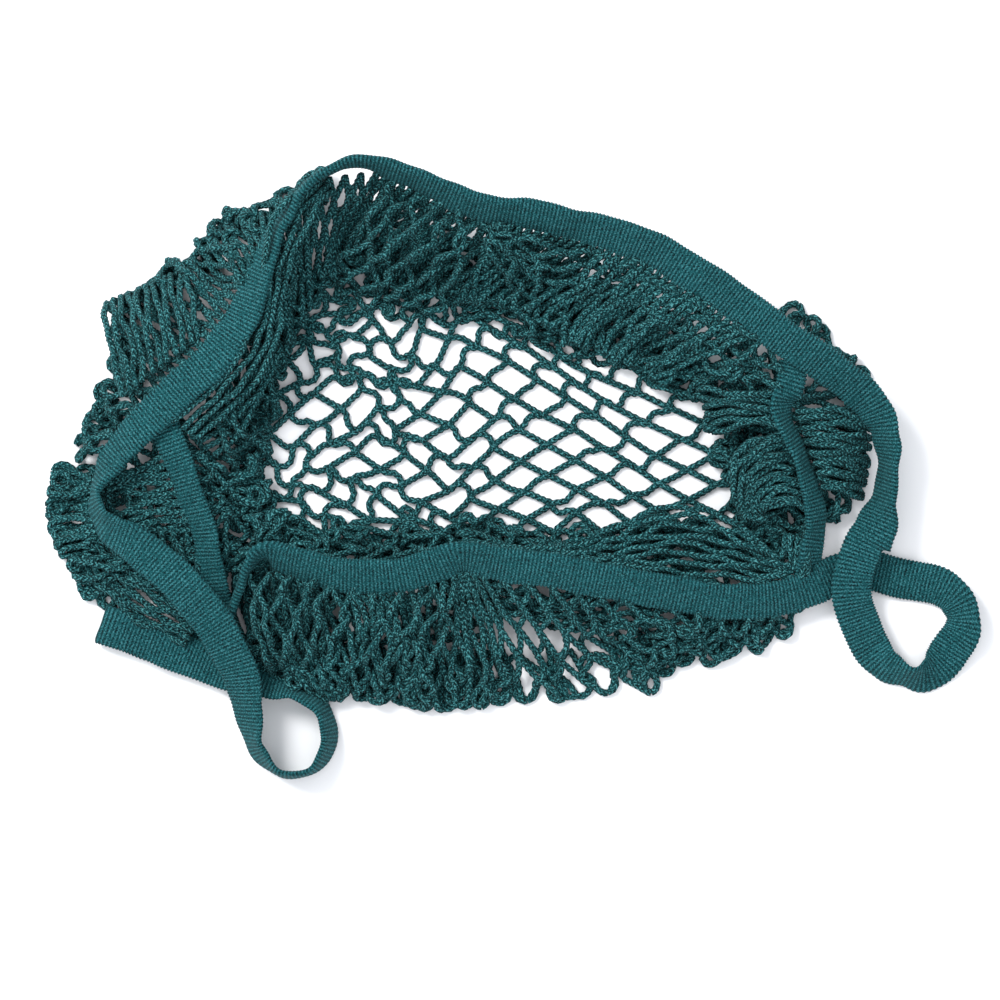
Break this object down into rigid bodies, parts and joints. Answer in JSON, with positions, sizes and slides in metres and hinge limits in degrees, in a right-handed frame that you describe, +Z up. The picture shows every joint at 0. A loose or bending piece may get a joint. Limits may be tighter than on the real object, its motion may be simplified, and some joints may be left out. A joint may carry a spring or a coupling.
{
  "type": "string shopping bag",
  "caption": "Knotted cotton net shopping bag with ribbed bindings and two strap handles, lying collapsed with its mouth open.",
  "frame": {"origin": "middle of the underside of the spread bag, on the surface it lies on", "axes": "+X to the bag's right, along its longest extent; +Y away from the near rim; +Z up from the surface"},
  "size_m": [0.3558, 0.233, 0.0407],
  "materials": {
    "ribbed_band": "matt ribbed cotton knit, teal green",
    "net_cord": "matt chain-knitted cotton cord, teal green"
  },
  "bodies": {
    "root": {"rim_band_back": "ribbed_band", "handle_left": "ribbed_band", "rim_band_front": "ribbed_band", "handle_right": "ribbed_band", "side_band_right": "ribbed_band", "side_band_left": "ribbed_band", "net_wall_inner": "net_cord", "net_bulge_left": "net_cord", "net_fan_left": "net_cord", "net_skirt_front": "net_cord", "net_fan_right": "net_cord", "net_floor": "net_cord"}
  },
  "joints": []
}
